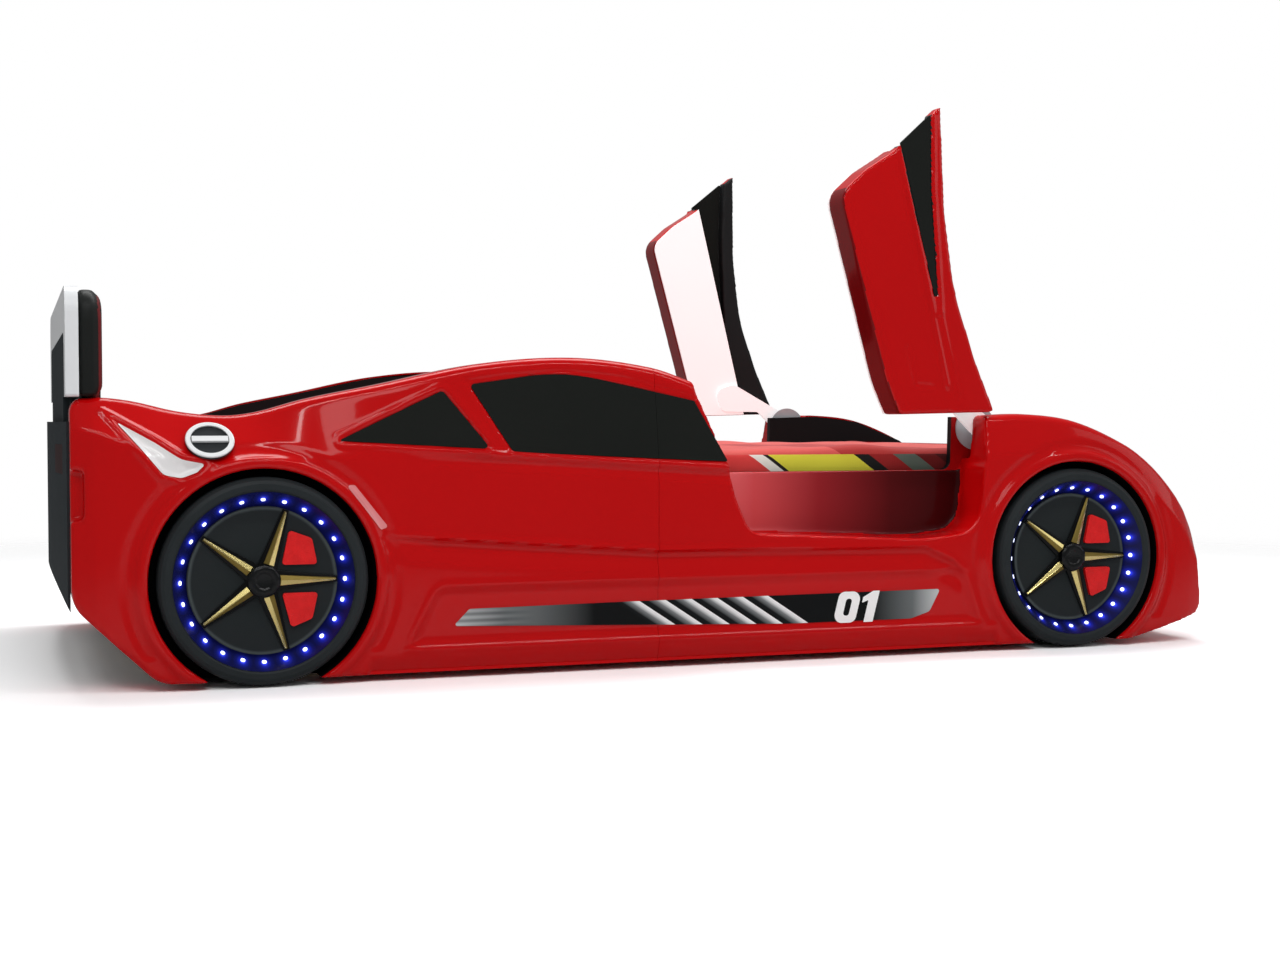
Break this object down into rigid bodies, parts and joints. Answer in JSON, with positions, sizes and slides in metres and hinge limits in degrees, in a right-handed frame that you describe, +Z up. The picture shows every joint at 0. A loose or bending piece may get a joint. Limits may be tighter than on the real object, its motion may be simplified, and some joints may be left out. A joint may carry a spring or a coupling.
{
  "type": "car bed for children",
  "caption": "Children's single bed shaped as a sports car, with moulded sides, dummy wheels with light rings, a headboard and doors that swing up.",
  "frame": {"origin": "on the floor, at the middle of the bed's length and width", "axes": "+X along the bed from the headboard to the nose, +Y to the left-hand side, +Z up"},
  "size_m": [2.335, 1.167, 1.0919],
  "materials": {
    "bedspread_red": "matte",
    "board_dark": "satin",
    "body_red": "gloss",
    "bolt_steel": "satin",
    "box_white": "matte",
    "cable_black": "matte",
    "caliper_red": "satin",
    "cap_black": "satin",
    "door_white": "satin",
    "fascia_grey": "satin",
    "foot_black": "matte",
    "frame_white": "gloss",
    "fuel_silver": "satin",
    "glazing_black": "gloss",
    "grille_black": "satin",
    "headboard_grey": "satin",
    "hinge_steel": "satin",
    "lamp_clear": "gloss",
    "lamp_red": "gloss",
    "light_band_blue": "satin",
    "light_bead": "satin",
    "mattress_white": "matte",
    "pad_dark": "satin",
    "star_gold": "gloss",
    "stripe_black": "gloss",
    "timber": "matte",
    "tyre_black": "matte",
    "wheel_charcoal": "satin"
  },
  "bodies": {
    "bed": {"bedspread": "bedspread_red", "bonnet": "body_red", "brake_calipers": "caliper_red", "cable_clips": "box_white", "centre_beam": "timber", "centre_legs": "foot_black", "feet": "foot_black", "frame_bolts": "bolt_steel", "front_board": "board_dark", "fuel_caps": "fuel_silver", "grille": "grille_black", "head_lamps": "lamp_clear", "headboard_frame": "frame_white", "headboard_pad": "pad_dark", "headboard_panel": "headboard_grey", "hinge_bracket_left": "hinge_steel", "hinge_bracket_right": "hinge_steel", "hub_caps": "cap_black", "light_beads": "light_bead", "light_control_boxes": "box_white", "light_harness": "cable_black", "light_rings": "light_band_blue", "mattress": "mattress_white", "nose": "body_red", "power_inlet": "cable_black", "quarter_windows": "glazing_black", "rear_board": "board_dark", "rear_fascia": "fascia_grey", "side_board_left": "board_dark", "side_board_right": "board_dark", "side_shell_front_left": "body_red", "side_shell_front_right": "body_red", "side_shell_rear_left": "body_red", "side_shell_rear_right": "body_red", "side_windows": "glazing_black", "slat_cleats": "timber", "slats": "timber", "spoke_stars": "star_gold", "stripe_plate_left": "stripe_black", "stripe_plate_right": "stripe_black", "tail_lamps": "lamp_red", "tyre_front_left": "tyre_black", "tyre_front_right": "tyre_black", "tyre_rear_left": "tyre_black", "tyre_rear_right": "tyre_black", "wheel_disc_front_left": "wheel_charcoal", "wheel_disc_front_right": "wheel_charcoal", "wheel_disc_rear_left": "wheel_charcoal", "wheel_disc_rear_right": "wheel_charcoal"},
    "right_door": {"door_liner_right": "door_white", "door_shell_right": "body_red", "door_window_right": "glazing_black", "hinge_arm_right": "hinge_steel"},
    "left_door": {"door_liner_left": "door_white", "door_shell_left": "body_red", "door_window_left": "glazing_black", "hinge_arm_left": "hinge_steel"}
  },
  "joints": [
    {"name": "right_door_hinge", "type": "hinge", "parent": "bed", "child": "right_door", "pos_m": [0.6455, -0.493, 0.452], "axis": [0, 1, 0], "range_deg": [-72, 0]},
    {"name": "left_door_hinge", "type": "hinge", "parent": "bed", "child": "left_door", "pos_m": [0.6455, 0.493, 0.452], "axis": [0, 1, 0], "range_deg": [-72, 0]}
  ]
}
